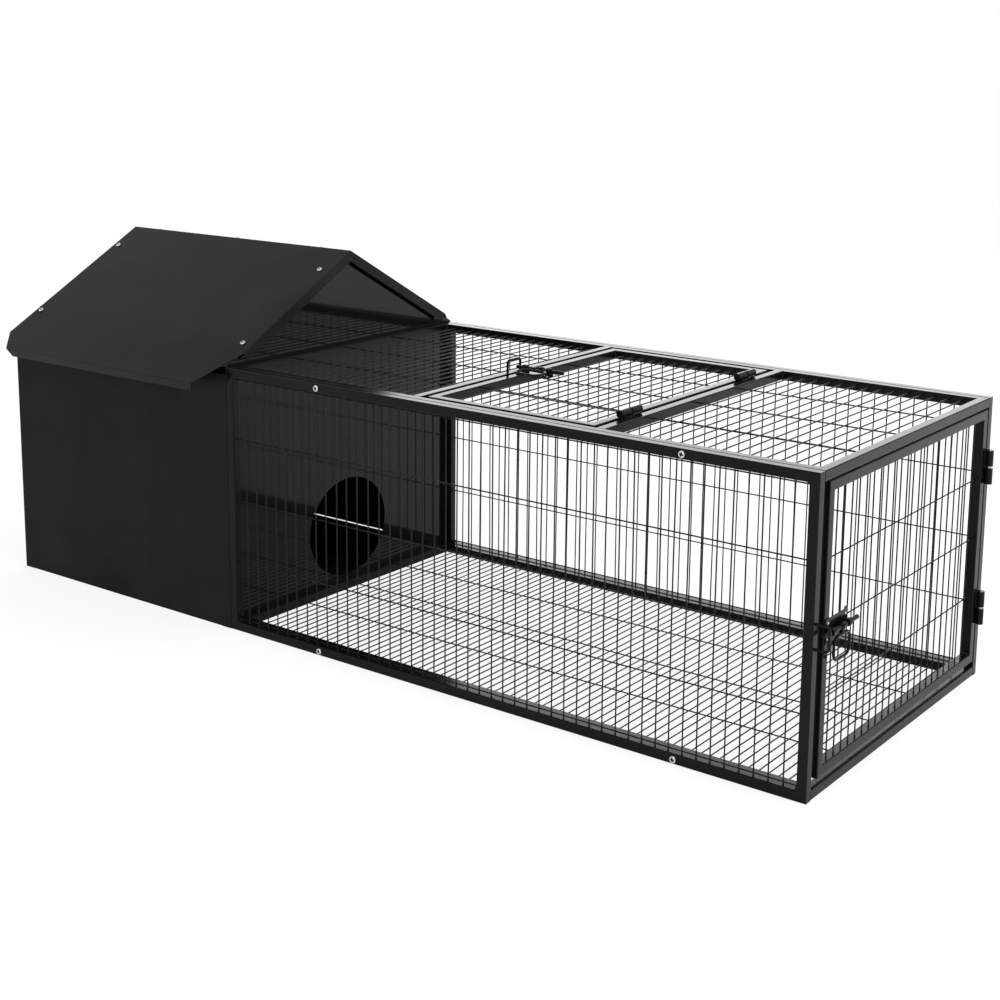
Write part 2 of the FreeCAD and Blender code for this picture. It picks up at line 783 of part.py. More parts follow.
# Screws of the house
for name, side in (("roof_front_screws", -1), ("roof_back_screws", 1)):
    screws = []
    for x in (gable_screw_x, partition_screw_x):
        for distance in slope_distances:
            point, outward = roof_place(x, distance, side)
            tag = f"{name}_{len(screws)}"
            screws.append(screw(tag, "sheet_screw", "sheet_screw_length", point, outward))
    group(name, screws)
screws = []
for x in ridge_screw_places:
    point, outward = roof_place(x, "ridge_screw_setback", 1)
    screws.append(screw(f"ridge_screw_{len(screws)}", "sheet_screw", "sheet_screw_length", point, outward))
group("ridge_screws", screws)
for name, x in (("gable_screws", "gable_x"), ("partition_screws", "seam_x - 2 * sheet_gauge")):
    screws = []
    for y, z in wall_screw_places:
        tag = f"{name}_{len(screws)}"
        screws.append(screw(tag, "sheet_screw", "sheet_screw_length", (x, y, z), MINUS_X))
    group(name, screws)


# Bullet hinges: local X points out of the panel, local Y to the fixed side, local Z along the pin

def knuckle(name, fixed):
    """Half of a hinge: a barrel with a blind bore, and a tab that is welded to its tube."""
    bottom = "-(knuckle_gap / 2) - knuckle_length" if fixed else "knuckle_gap / 2"
    barrel = cylinder(name + "_barrel", "barrel_radius", "knuckle_length", ("0", "0", bottom))
    tab_y = "0" if fixed else "-hinge_tab_width"
    tab_point = ("-(hinge_offset)", tab_y, bottom)
    tab = box(name + "_tab", "hinge_tab_thickness", "hinge_tab_width", "knuckle_length", tab_point)
    bore_bottom = "-(knuckle_gap / 2) - hinge_pin_depth" if fixed else "knuckle_gap / 2 - cut_overrun"
    bore_radius = "hinge_pin_diameter / 2 + hinge_clearance"
    bore = cylinder(name + "_bore", bore_radius, "hinge_pin_depth + cut_overrun", ("0", "0", bore_bottom))
    return cut(name, fuse(name + "_blank", [barrel, tab]), [bore])


def hinges(prefix, centres, rotation, axis):
    """Fixed halves, moving halves and pins of a leaf's two hinges."""
    fixed = []
    moving = []
    pins = []
    for index, centre in enumerate(centres):
        for fixed_half, halves in ((True, fixed), (False, moving)):
            kind = "fixed" if fixed_half else "moving"
            half = knuckle(f"{prefix}_{kind}_{index}", fixed_half)
            place(half, centre, rotation)
            halves.append(half)
        pin_start = moved(centre, (tuple(-v for v in axis), "knuckle_gap / 2 + hinge_pin_depth"))
        pin_length = "2 * hinge_pin_depth + knuckle_gap - hinge_clearance"
        tag = f"{prefix}_pin_{index}"
        pins.append(cylinder(tag, "hinge_pin_diameter / 2", pin_length, pin_start, axis))
    group(f"{prefix}_fixed_knuckles", fixed)
    group(f"{prefix}_moving_knuckles", moving)
    group(f"{prefix}_pins", pins)


door_hinge_x = "end_x + hinge_offset"
door_hinge_y = "door_y + door_width + door_hinge_gap / 2"
door_middle_z = "door_z + door_height / 2"
door_centres = [(door_hinge_x, door_hinge_y, f"{door_middle_z} + {side} * door_hinge_spread")
                for side in BOTH_SIDES]
hinges("door_hinge", door_centres, turned(X, Y), Z)
hatch_hinge_x = "hatch_end_x + hatch_gap / 2"
hatch_hinge_z = "cage_height + hinge_offset"
hatch_centres = [(hatch_hinge_x, f"{side} * hatch_hinge_spread", hatch_hinge_z) for side in BOTH_SIDES]
hinges("hatch_hinge", hatch_centres, turned(Z, X), Y)


# Sliding latches: local X points to the keeper, local Y to the side where the ring lies, local Z outwards

def bent_rod(points, wire, corner, closed):
    """Round rod along straight runs that are joined by arcs at the corners."""
    count = len(points)
    edges = []
    ends = []
    for index, point in enumerate(points):
        if not closed and index in (0, count - 1):
            ends.append((point, point))
            continue
        before = (points[index - 1] - point).normalize()
        after = (points[(index + 1) % count] - point).normalize()
        start = point + before * corner
        finish = point + after * corner
        middle = point + (before + after) * corner * (1 - 0.5 ** 0.5)
        edges.append(Part.Arc(start, middle, finish).toShape())
        ends.append((start, finish))
    for index in range(count if closed else count - 1):
        edges.append(Part.makeLine(ends[index][1], ends[(index + 1) % count][0]))
    path = Part.Wire(Part.__sortEdges__(edges))
    first = path.OrderedEdges[0]
    at = first.valueAt(first.FirstParameter)
    ahead = first.tangentAt(first.FirstParameter)
    profile = Part.Wire(Part.makeCircle(wire / 2, at, ahead))
    return path.makePipeShell([profile], True, False)


def solid(name, shape, point, rotation):
    """Sub-part whose shape is built directly from the sheet's values."""
    item = doc.addObject("Part::Feature", name)
    item.Shape = shape
    place(item, point, rotation)
    return node(name, item)


def ring_shape():
    """Pull ring: an eye that turns on the bolt, a neck, and a closed loop of wire."""
    height = number("bolt_height")
    middle = -number("ring_eye_setback")
    start = number("ring_start")
    half = number("ring_length / 2 - ring_wire / 2")
    far = start + number("ring_depth - ring_wire")
    corners = ((middle - half, start), (middle + half, start), (middle + half, far), (middle - half, far))
    points = [FreeCAD.Vector(x, y, height) for x, y in corners]
    loop = bent_rod(points, number("ring_wire"), number("ring_corner"), True)
    eye_length = number("ring_eye_length")
    eye_start = FreeCAD.Vector(middle - eye_length / 2, 0, height)
    eye = Part.makeCylinder(number("ring_eye_diameter / 2"), eye_length, eye_start, FreeCAD.Vector(*X))
    bore = Part.makeCylinder(number("bolt_diameter / 2 + bolt_clearance"), eye_length, eye_start,
                             FreeCAD.Vector(*X))
    neck = Part.makeCylinder(number("ring_wire / 2"), start, FreeCAD.Vector(middle, 0, height),
                             FreeCAD.Vector(*Y))
    return eye.fuse([neck, loop]).cut(bore)


def keeper_shape():
    """Wire staple that the bolt shoots through."""
    half = number("keeper_width / 2")
    reach = number("keeper_reach")
    points = [FreeCAD.Vector(0, -half, 0), FreeCAD.Vector(0, -half, reach),
              FreeCAD.Vector(0, half, reach), FreeCAD.Vector(0, half, 0)]
    return bent_rod(points, number("keeper_wire"), number("keeper_corner"), False)


def latch_plate(name, point, rotation):
    """Mounting plate, welded on the tube, with a small tab at one corner."""
    body = new_body(name)
    near = "-plate_inset"
    far = "-plate_inset - plate_length"
    edge = [
        (near, "-plate_above"),
        (near, "plate_below"),
        (far, "plate_below"),
        (far, "-plate_above - plate_tab_rise"),
        (f"{far} + plate_tab", "-plate_above - plate_tab_rise"),
        (f"{far} + plate_tab", "-plate_above"),
    ]
    pad(body, outline(body, "XY_Plane", edge), "plate_gauge")
    place(body, point, rotation)
    node(name, body)


def latch_guides(name, point, rotation):
    """Two saddles that the bolt slides in."""
    saddles = []
    for tag, setback in (("front", "front_guide_setback"), ("rear", "rear_guide_setback")):
        part = f"{name}_{tag}"
        start = f"-({setback}) - guide_length / 2"
        foot = box(part + "_foot", "guide_length", "2 * guide_radius", "bolt_height - plate_gauge",
                   (start, "-guide_radius", "plate_gauge"))
        crown = cylinder(part + "_crown", "guide_radius", "guide_length", (start, "0", "bolt_height"), X)
        bore_start = (f"{start} - cut_overrun", "0", "bolt_height")
        bore = cylinder(part + "_bore", "bolt_diameter / 2 + bolt_clearance",
                        "guide_length + 2 * cut_overrun", bore_start, X)
        saddle = cut(part, fuse(part + "_blank", [foot, crown]), [bore])
        place(saddle, point, rotation)
        saddles.append(saddle)
    group(name, saddles)


def latch_bolt(name, gap, point, rotation):
    """Round bolt with two collars that carry the ring's eye along."""
    tip = f"{gap} + tube_size / 2 - keeper_wire / 2 - bolt_standoff"
    rod = cylinder(name + "_rod", "bolt_diameter / 2", f"bolt_tail + {tip}",
                   ("-bolt_tail", "0", "bolt_height"), X)
    pieces = [rod]
    for tag, start in (("rear", "-ring_eye_setback - collar_reach"),
                       ("front", "-ring_eye_setback + collar_reach - collar_length")):
        pieces.append(cylinder(f"{name}_{tag}_collar", "collar_diameter / 2", "collar_length",
                               (start, "0", "bolt_height"), X))
    bolt = fuse(name, pieces)
    place(bolt, point, rotation)
    node(name, bolt)


def latch(prefix, gap, point, to_keeper, to_ring):
    """One whole latch, and its keeper on the tube across the gap."""
    rotation = turned(to_keeper, to_ring)
    latch_plate(f"{prefix}_latch_plate", point, rotation)
    latch_guides(f"{prefix}_latch_guides", point, rotation)
    latch_bolt(f"{prefix}_latch_bolt", gap, point, rotation)
    solid(f"{prefix}_latch_ring", ring_shape(), point, rotation)
    keeper_point = moved(point, (to_keeper, f"{gap} + tube_size / 2"))
    solid(f"{prefix}_latch_keeper", keeper_shape(), keeper_point, rotation)


door_latch_point = ("end_x", "door_y", f"{door_middle_z} + door_latch_rise")
hatch_latch_point = ("hatch_x", "-hatch_latch_offset", "cage_height")
latch("door", "door_latch_gap", door_latch_point, MINUS_Y, MINUS_Z)
latch("hatch", "hatch_gap", hatch_latch_point, MINUS_X, MINUS_Y)

# Checks, then one file for each sub-part
doc.recompute()
failed = [item.Name for item in doc.Objects if {"Invalid", "Error"} & set(item.State)]
for name, item in nodes.items():
    if item.Shape.isNull() or not item.Shape.isValid():
        failed.append(name)
if failed:
    raise RuntimeError("failed objects: " + ", ".join(failed))
os.makedirs("parts", exist_ok=True)
for name, item in nodes.items():
    item.Shape.exportStep(f"parts/{name}.step")
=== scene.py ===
import json
import math
import random

import bmesh
import bpy
from mathutils import Matrix, Vector


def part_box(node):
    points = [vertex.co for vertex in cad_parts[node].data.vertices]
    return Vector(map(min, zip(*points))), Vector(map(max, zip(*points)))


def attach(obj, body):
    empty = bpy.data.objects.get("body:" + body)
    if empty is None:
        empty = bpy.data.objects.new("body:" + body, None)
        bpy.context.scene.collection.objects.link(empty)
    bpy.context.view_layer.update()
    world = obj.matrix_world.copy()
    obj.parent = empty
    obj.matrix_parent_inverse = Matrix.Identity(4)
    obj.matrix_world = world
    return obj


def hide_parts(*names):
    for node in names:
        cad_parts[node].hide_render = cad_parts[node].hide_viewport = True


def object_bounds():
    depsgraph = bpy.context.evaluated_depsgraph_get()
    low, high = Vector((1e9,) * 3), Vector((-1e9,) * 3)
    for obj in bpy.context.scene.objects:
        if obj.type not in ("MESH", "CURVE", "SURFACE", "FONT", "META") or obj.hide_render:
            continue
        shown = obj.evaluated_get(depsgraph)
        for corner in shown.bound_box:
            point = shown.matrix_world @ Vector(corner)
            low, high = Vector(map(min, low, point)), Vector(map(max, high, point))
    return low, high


# Looks of a wire rabbit cage with a sheet house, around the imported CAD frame.
# Metres, in the CAD's frame: X runs from the house to the door, -Y is the front long side, Z is up.
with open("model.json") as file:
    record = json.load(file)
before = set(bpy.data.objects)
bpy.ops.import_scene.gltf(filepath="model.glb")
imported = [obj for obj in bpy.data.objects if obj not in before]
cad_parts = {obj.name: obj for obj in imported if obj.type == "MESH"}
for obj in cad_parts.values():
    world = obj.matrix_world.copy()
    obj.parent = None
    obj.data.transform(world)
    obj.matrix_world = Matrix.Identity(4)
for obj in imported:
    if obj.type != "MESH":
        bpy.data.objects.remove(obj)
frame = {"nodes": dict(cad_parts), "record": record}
cad_low, cad_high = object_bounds()
scene = bpy.context.scene
NODES = frame["nodes"]
RECORD = frame["record"]
BODY_OF = {node: body for body, names in RECORD["behaviour"]["bodies"].items() for node in names}
SLOT_OF = {row["node"]: row["material_slot"] for row in RECORD["subparts"]}
MM = 0.001
X, Y, Z = range(3)
FULL_TURN = 2 * math.pi

# ---------------------------------------------------------------- materials
# Part of a noise texture's range that a ramp stretches
NARROW, WIDE = (0.35, 0.65), (0.3, 0.7)
# Powder coat: scales per metre, and shares of the coat's own tone and gloss
PATCH_SCALE, GRAIN_SCALE, GRAIN_SHARE = 9.0, 1400.0, 0.4
TONE_SPREAD, GLOSS_SPREAD, COOL_TINT = (0.75, 1.3), (0.8, 1.25), 1.02
PEEL_DEPTH = 0.4 * MM
# Plated metal: tone and depth of its marks
MARK_TONE, MARK_DEPTH = 0.86, 0.1 * MM


def new_material(name):
    material = bpy.data.materials.new(name)
    material.use_nodes = True
    tree = material.node_tree
    return material, tree, tree.nodes["Principled BSDF"]


def add(tree, kind, **inputs):
    """New node with constants on its sockets."""
    node = tree.nodes.new(kind)
    for key, value in inputs.items():
        node.inputs[key.replace("_", " ")].default_value = value
    return node


def noise(tree, place, scale, detail, rough=0.5):
    node = add(tree, "ShaderNodeTexNoise", Scale=scale, Detail=detail, Roughness=rough)
    tree.links.new(place.outputs["Object"], node.inputs["Vector"])
    return node.outputs["Fac"]


def ramp(tree, factor, span, first, last):
    node = tree.nodes.new("ShaderNodeValToRGB")
    for element, position, colour in zip(node.color_ramp.elements, span, (first, last)):
        element.position = position
        element.color = (*colour, 1)
    tree.links.new(factor, node.inputs["Fac"])
    return node.outputs["Color"]


def spread(tree, factor, low, high):
    node = add(tree, "ShaderNodeMapRange", From_Min=WIDE[0], From_Max=WIDE[1], To_Min=low, To_Max=high)
    tree.links.new(factor, node.inputs["Value"])
    return node.outputs["Result"]


def bump(tree, shader, height, strength, distance):
    node = add(tree, "ShaderNodeBump", Strength=strength, Distance=distance)
    tree.links.new(height, node.inputs["Height"])
    tree.links.new(node.outputs["Normal"], shader.inputs["Normal"])


def powder_coat(name, grey, roughness, specular, peel_scale, peel):
    """Black powder coat: orange peel, faint patches in tone and gloss."""
    material, tree, shader = new_material(name)
    place = tree.nodes.new("ShaderNodeTexCoord")
    patches = noise(tree, place, PATCH_SCALE, detail=4.0)
    grain = noise(tree, place, GRAIN_SCALE, detail=2.0)
    mixed = add(tree, "ShaderNodeMix", Factor=GRAIN_SHARE)
    tree.links.new(patches, mixed.inputs["A"])
    tree.links.new(grain, mixed.inputs["B"])
    dark, light = (grey * share for share in TONE_SPREAD)
    tone = ramp(tree, mixed.outputs["Result"], NARROW,
                (dark, dark, dark * COOL_TINT), (light, light, light * COOL_TINT))
    tree.links.new(tone, shader.inputs["Base Color"])
    low, high = (roughness * share for share in GLOSS_SPREAD)
    tree.links.new(spread(tree, patches, low, high), shader.inputs["Roughness"])
    shader.inputs["Specular IOR Level"].default_value = specular
    bump(tree, shader, noise(tree, place, peel_scale, detail=3.0, rough=0.55), peel, PEEL_DEPTH)
    return material


def bright_metal(name, tone, gloss, mark_scale, marking):
    """Plated steel: fine tumbling marks and uneven gloss."""
    material, tree, shader = new_material(name)
    place = tree.nodes.new("ShaderNodeTexCoord")
    marks = noise(tree, place, mark_scale, detail=4.0, rough=0.6)
    shade = ramp(tree, marks, WIDE, tuple(MARK_TONE * c for c in tone), tone)
    tree.links.new(shade, shader.inputs["Base Color"])
    tree.links.new(spread(tree, marks, *gloss), shader.inputs["Roughness"])
    shader.inputs["Metallic"].default_value = 1.0
    bump(tree, shader, marks, marking, MARK_DEPTH)
    return material


LOOKS = {
    "black_sheet": powder_coat("black_sheet_coat", grey=0.009, roughness=0.2, specular=0.045,
                               peel_scale=420.0, peel=0.03),
    "glossy_sheet": powder_coat("glossy_sheet_coat", grey=0.004, roughness=0.06, specular=0.14,
                                peel_scale=420.0, peel=0.012),
    "black_tube": powder_coat("black_tube_coat", grey=0.004, roughness=0.15, specular=0.1,
                              peel_scale=600.0, peel=0.02),
    "black_wire": powder_coat("black_wire_coat", grey=0.004, roughness=0.3, specular=0.15,
                              peel_scale=900.0, peel=0.03),
    "bright_screw": bright_metal("bright_screw_plate", tone=(0.7, 0.7, 0.69), gloss=(0.16, 0.34),
                                 mark_scale=700.0, marking=0.06),
    # Near-black metal for the screws' recesses: painted shade in the recess, not the plating's own tone
    "recess_painted_shade": bright_metal("recess_painted_shade_metal", tone=(0.035, 0.035, 0.036), gloss=(0.4, 0.6),
                                 mark_scale=900.0, marking=0.1),
    "zinc_steel": bright_metal("zinc_steel_plate", tone=(0.56, 0.56, 0.58), gloss=(0.22, 0.42),
                               mark_scale=500.0, marking=0.1),
}
for node_name, node_object in NODES.items():
    node_object.data.materials.clear()
    node_object.data.materials.append(LOOKS[SLOT_OF[node_name]])

# ---------------------------------------------------------------- pieces
# Points closer than this are one point
MERGE = 1e-6
# Cosine of about one degree: faces that differ less lie in one plane
SAME_PLANE = 0.9998
# Wider than any face of the tubes, wires and hardware, so that all of theirs are shaded smooth
ALL_SMOOTH = 1.0


def others(axis):
    """The two axes across an axis."""
    return [i for i in range(3) if i != axis]


def circle(centre, axis, radius, sides):
    """Points around a centre, in the plane across an axis."""
    a, b = others(axis)
    ring = []
    for side in range(sides):
        angle = FULL_TURN * side / sides
        point = Vector(centre)
        point[a] += radius * math.cos(angle)
        point[b] += radius * math.sin(angle)
        ring.append(point)
    return ring


def welded(node):
    """A CAD node's mesh with its double points merged."""
    mesh = bmesh.new()
    mesh.from_mesh(NODES[node].data)
    bmesh.ops.remove_doubles(mesh, verts=mesh.verts, dist=MERGE)
    return mesh


def islands(node):
    """Point lists of a CAD node's separate solids."""
    mesh = welded(node)
    seen = set()
    found = []
    for vert in mesh.verts:
        if vert in seen:
            continue
        seen.add(vert)
        stack = [vert]
        points = []
        while stack:
            here = stack.pop()
            points.append(here.co.copy())
            for edge in here.link_edges:
                other = edge.other_vert(here)
                if other not in seen:
                    seen.add(other)
                    stack.append(other)
        found.append(points)
    mesh.free()
    return found


def extent(points):
    low = Vector([min(p[i] for p in points) for i in range(3)])
    high = Vector([max(p[i] for p in points) for i in range(3)])
    return low, high


def face_width(face):
    longest = max(edge.calc_length() for edge in face.edges)
    return face.calc_area() / longest if longest else 0.0


def add_object(name, mesh, look):
    data = bpy.data.meshes.new(name)
    mesh.to_mesh(data)
    mesh.free()
    made = bpy.data.objects.new(name, data)
    scene.collection.objects.link(made)
    data.materials.append(LOOKS[look])
    return made


def piece(name, mesh, node, weighted=True, look=None, flat_over=ALL_SMOOTH):
    """A finished piece that stands for one CAD node, on that node's body.

    Faces wider than flat_over stay flat, and so do narrower ones in the plane of a flat neighbour."""
    bmesh.ops.recalc_face_normals(mesh, faces=mesh.faces)
    mesh.normal_update()
    for face in mesh.faces:
        face.smooth = face_width(face) < flat_over
    for face in mesh.faces:
        beside = [other for edge in face.edges for other in edge.link_faces if not other.smooth]
        if any(face.normal.dot(other.normal) > SAME_PLANE for other in beside):
            face.smooth = False
    made = add_object(name, mesh, look or SLOT_OF[node])
    if weighted:
        modifier = made.modifiers.new("normals", "WEIGHTED_NORMAL")
        modifier.weight = 100
        modifier.keep_sharp = True
    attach(made, BODY_OF[node])
    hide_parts(node)
    return made


def skin(mesh, rings):
    """Faces between rings of points, with capped ends."""
    rows = [[mesh.verts.new(p) for p in ring] for ring in rings]
    for one, two in zip(rows, rows[1:]):
        for i in range(len(one)):
            j = (i + 1) % len(one)
            mesh.faces.new((one[i], one[j], two[j], two[i]))
    for cap in (mesh.faces.new(rows[0]), mesh.faces.new(list(reversed(rows[-1])))):
        for edge in cap.edges:
            edge.smooth = False


# Square tube frames, with a weld bead in each inner corner
def rounded_square(half, radius, steps):
    """Outline of a square tube with rounded edges, as pairs around the middle."""
    outline = []
    for quarter, (su, sv) in enumerate(((1, 1), (-1, 1), (-1, -1), (1, -1))):
        for step in range(steps + 1):
            angle = math.pi / 2 * (quarter + step / steps)
            outline.append((su * (half - radius) + radius * math.cos(angle),
                            sv * (half - radius) + radius * math.sin(angle)))
    return outline


TUBE = 14 * MM
TUBE_EDGE, TUBE_EDGE_STEPS = 1.5 * MM, 4
TUBE_OUTLINE = rounded_square(TUBE / 2, TUBE_EDGE, TUBE_EDGE_STEPS)
BEAD_RADIUS, BEAD_INSET, BEAD_LENGTH = 3.4 * MM, 0.4 * MM, 11 * MM
BEAD_STEPS, BEAD_SIDES = 16, 12
# The bead's thickness follows this stretch of half a sine wave, with ripples and small chance changes
TAPER_START, TAPER_SPAN = 0.12, 0.76
RIPPLE_COUNT, RIPPLE_SIZE, BEAD_CHANCE = 3, 0.09, 0.04


def bead(mesh, centre, axis, dice):
    """Short rippled weld along one axis."""
    rings = []
    for step in range(BEAD_STEPS + 1):
        share = step / BEAD_STEPS
        taper = math.sin(math.pi * (TAPER_START + TAPER_SPAN * share)) ** 0.5
        ripple = 1 + RIPPLE_SIZE * math.sin(RIPPLE_COUNT * FULL_TURN * share)
        size = BEAD_RADIUS * taper * ripple * dice.uniform(1 - BEAD_CHANCE, 1 + BEAD_CHANCE)
        middle = Vector(centre)
        middle[axis] += BEAD_LENGTH * (share - 0.5)
        rings.append(circle(middle, axis, size, BEAD_SIDES))
    skin(mesh, rings)


def inner_beads(mesh, low, high, flat, dice):
    """Welds in the four inner corners of an opening."""
    a, b = others(flat)
    for sa in (low, high):
        for sb in (low, high):
            corner = (low + high) / 2
            corner[a] = sa[a] + (BEAD_INSET if sa is low else -BEAD_INSET)
            corner[b] = sb[b] + (BEAD_INSET if sb is low else -BEAD_INSET)
            bead(mesh, corner, flat, dice)


def tube_loop(mesh, node, flat):
    """Four mitred tubes that fill a node's box; flat is the axis across the panel."""
    low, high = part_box(node)
    a, b = others(flat)
    middle = (low[flat] + high[flat]) / 2
    rings = []
    for sa, sb in ((-1, -1), (1, -1), (1, 1), (-1, 1)):
        ring = []
        for u, v in TUBE_OUTLINE:
            point = Vector()
            point[a] = (high[a] - TUBE / 2 if sa > 0 else low[a] + TUBE / 2) + sa * u
            point[b] = (high[b] - TUBE / 2 if sb > 0 else low[b] + TUBE / 2) + sb * u
            point[flat] = middle + v
            ring.append(point)
        rings.append(ring)
    for one, two in zip(rings, rings[1:] + rings[:1]):
        skin(mesh, (one, two))


def tube_bar(mesh, start, end):
    """Straight tube along Y."""
    skin(mesh, [[Vector((start.x + u, y, start.z + v)) for u, v in TUBE_OUTLINE]
                for y in (start.y, end.y)])


def opening(node, flat):
    """Corners of the space inside a frame's tubes."""
    low, high = (Vector(corner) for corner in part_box(node))
    for i in others(flat):
        low[i] += TUBE
        high[i] -= TUBE
    return low, high


def cross_rails(node, flat):
    """Middle lines of the rails between a panel's end rails, from the CAD solids."""
    open_low, open_high = opening(node, flat)
    rails = []
    for points in islands(node):
        low, high = extent(points)
        if low.x > open_low.x and high.x < open_high.x:
            centre = (low + high) / 2
            rails.append((Vector((centre.x, low.y, centre.z)), Vector((centre.x, high.y, centre.z))))
    return rails


def frame_piece(node, flat):
    """Tubes and weld beads of one frame; the top panel's two cross rails leave the hatch's space free."""
    dice = random.Random(node)
    mesh = bmesh.new()
    tube_loop(mesh, node, flat)
    low, high = opening(node, flat)
    bars = cross_rails(node, flat) if node == "top_panel_frame" else ()
    if bars:
        for start, end in bars:
            tube_bar(mesh, start, end)
        left, right = sorted(bars, key=lambda bar: bar[0].x)
        inner_beads(mesh, low, Vector((left[0].x - TUBE / 2, high.y, high.z)), flat, dice)
        inner_beads(mesh, Vector((right[0].x + TUBE / 2, low.y, low.z)), high, flat, dice)
    else:
        inner_beads(mesh, low, high, flat, dice)
    piece(node + "_tubes", mesh, node)


for panel, flat in (("front_panel_frame", Y), ("back_panel_frame", Y), ("top_panel_frame", Z),
                    ("floor_panel_frame", Z), ("door_frame", X), ("hatch_frame", Z)):
    frame_piece(panel, flat)

# Welded wire: ends that flare over the weld foot, and a slight wander between them
WIRE_SIDES, WIRE_STEPS = 10, 10
WELD_FOOT, FOOT_SWELL = 1.6 * MM, [1.7, 1.25]
# Wires over the long limit stay nearly straight, so that the slit beside a border wire stays open
SWAY, LONG_SWAY, LONG_WIRE = 0.9 * MM, 0.15 * MM, 600 * MM


def wire(mesh, low, high, flat, dice):
    """One round wire, which wanders only in the panel's plane."""
    size = high - low
    axis = max(range(3), key=lambda i: size[i])
    radius = size[others(axis)[0]] / 2
    away = 3 - axis - flat
    sway = LONG_SWAY if size[axis] > LONG_WIRE else SWAY
    lean = dice.uniform(-sway, sway)
    bow = dice.uniform(-sway, sway)
    weld = WELD_FOOT / size[axis]
    between = [step / WIRE_STEPS for step in range(1, WIRE_STEPS)]
    shares = [0, weld / 2, weld] + between + [1 - weld, 1 - weld / 2, 1]
    swell = FOOT_SWELL + [1.0] * (len(shares) - 2 * len(FOOT_SWELL)) + FOOT_SWELL[::-1]
    rings = []
    for share, grow in zip(shares, swell):
        middle = (low + high) / 2
        middle[axis] = low[axis] + size[axis] * share
        middle[away] += lean * (share - 0.5) + bow * math.sin(math.pi * share)
        rings.append(circle(middle, axis, grow * radius, WIRE_SIDES))
    skin(mesh, rings)


def mesh_piece(node, flat):
    """All wires of one welded mesh."""
    dice = random.Random(node)
    mesh = bmesh.new()
    for points in islands(node):
        wire(mesh, *extent(points), flat, dice)
    piece(node + "_wires", mesh, node, weighted=False)


for panel, flat in (("front_panel_mesh", Y), ("back_panel_mesh", Y), ("top_mesh_left", Z),
                    ("top_mesh_right", Z), ("floor_panel_mesh", Z), ("door_mesh", X), ("hatch_mesh", Z)):
    mesh_piece(panel, flat)

# Sheets: the CAD folds with bend radii and eased cut edges; radii come with their number of steps
OUTER_BEND, INNER_BEND, RIM_EASE = (1.8 * MM, 4), (0.8 * MM, 3), (0.22 * MM, 1)
FOLD_ANGLE, RIM_ANGLE = math.radians(20), math.radians(50)
# A face wider than this is one side of a fold, not the cut rim
BROAD_FACE = 3 * MM
SHEET_FLAT_OVER = 2.5 * MM
FRONT_SKIRT, SKIRT_BAND = 2.2 * MM, 0.1 * MM
# Hardware: edges sharper than this angle are eased
HARDWARE_ANGLE, HARDWARE_STEPS = math.radians(30), 2
# Faces of a CAD mesh that differ less become one
ONE_FACE_ANGLE = math.radians(0.6)


def node_mesh(node):
    """A CAD node's mesh with its flat faces whole."""
    mesh = welded(node)
    bmesh.ops.dissolve_limit(mesh, angle_limit=ONE_FACE_ANGLE, verts=mesh.verts, edges=mesh.edges)
    return mesh


def sharp_edges(mesh, least_angle, folds, convex):
    """Edges between two broad faces (folds), or edges of the cut rim."""
    found = []
    for edge in mesh.edges:
        if len(edge.link_faces) != 2:
            continue
        angle = edge.calc_face_angle_signed(0.0)
        broad = min(face_width(face) for face in edge.link_faces) > BROAD_FACE
        if abs(angle) > least_angle and broad == folds and (angle > 0) == convex:
            found.append(edge)
    return found


def ease(mesh, edges, radius, steps):
    bmesh.ops.bevel(mesh, geom=edges, offset=radius, offset_type="OFFSET", segments=steps, profile=0.5,
                    affect="EDGES", clamp_overlap=True)


def sheet_piece(node, skirt=0.0, look=None):
    """Folded sheet; a skirt takes its lowest edge down by that much."""
    mesh = node_mesh(node)
    if skirt:
        foot = min(vert.co.z for vert in mesh.verts)
        for vert in mesh.verts:
            if vert.co.z < foot + SKIRT_BAND:
                vert.co.z -= skirt
    ease(mesh, sharp_edges(mesh, FOLD_ANGLE, folds=True, convex=True), *OUTER_BEND)
    ease(mesh, sharp_edges(mesh, FOLD_ANGLE, folds=True, convex=False), *INNER_BEND)
    ease(mesh, sharp_edges(mesh, RIM_ANGLE, folds=False, convex=True), *RIM_EASE)
    piece(node + "_sheet", mesh, node, weighted=False, look=look, flat_over=SHEET_FLAT_OVER)


def eased_piece(node, radius):
    """Small hardware with eased edges."""
    mesh = node_mesh(node)
    edges = [edge for edge in mesh.edges
             if len(edge.link_faces) == 2 and abs(edge.calc_face_angle_signed(0.0)) > HARDWARE_ANGLE]
    ease(mesh, edges, radius, HARDWARE_STEPS)
    piece(node + "_eased", mesh, node)


sheet_piece("house_front_wall", skirt=FRONT_SKIRT)
sheet_piece("house_partition_wall", look="glossy_sheet")
for sheet in ("house_back_wall", "house_gable_wall", "house_floor", "roof_front_panel", "roof_back_panel",
              "ridge_strip"):
    sheet_piece(sheet)

# Screws: pan heads with a cross recess that is painted dark as shade, and threaded shanks. Shares are of
# the head's radius or height.
HEAD_TURNS, HEAD_RINGS = 48, 14
DOME_FALL, RIM_POWER = 0.16, 9
ARM_HALF_WIDTH, ARM_BLEND = 0.19, 0.05
ARM_REACH, REACH_BLEND = 0.6, 0.08
# Faces sunk deeper than this share of the recess depth take the painted-shade metal
RECESS_DEPTH, PAINTED_SHADE_SINK = 0.6, 0.6
THREAD_PITCH, THREAD_ROOT, SHANK_SIDES = 0.8 * MM, 0.82, 12
# Head height and shank radius
PANEL_SCREW, SHEET_SCREW = (3.6 * MM, 2.5 * MM), (3.4 * MM, 2 * MM)
# Outward directions of the roof's slopes
BACK_SLOPE, FRONT_SLOPE = (0, 0.482, 0.876), (0, -0.482, 0.876)


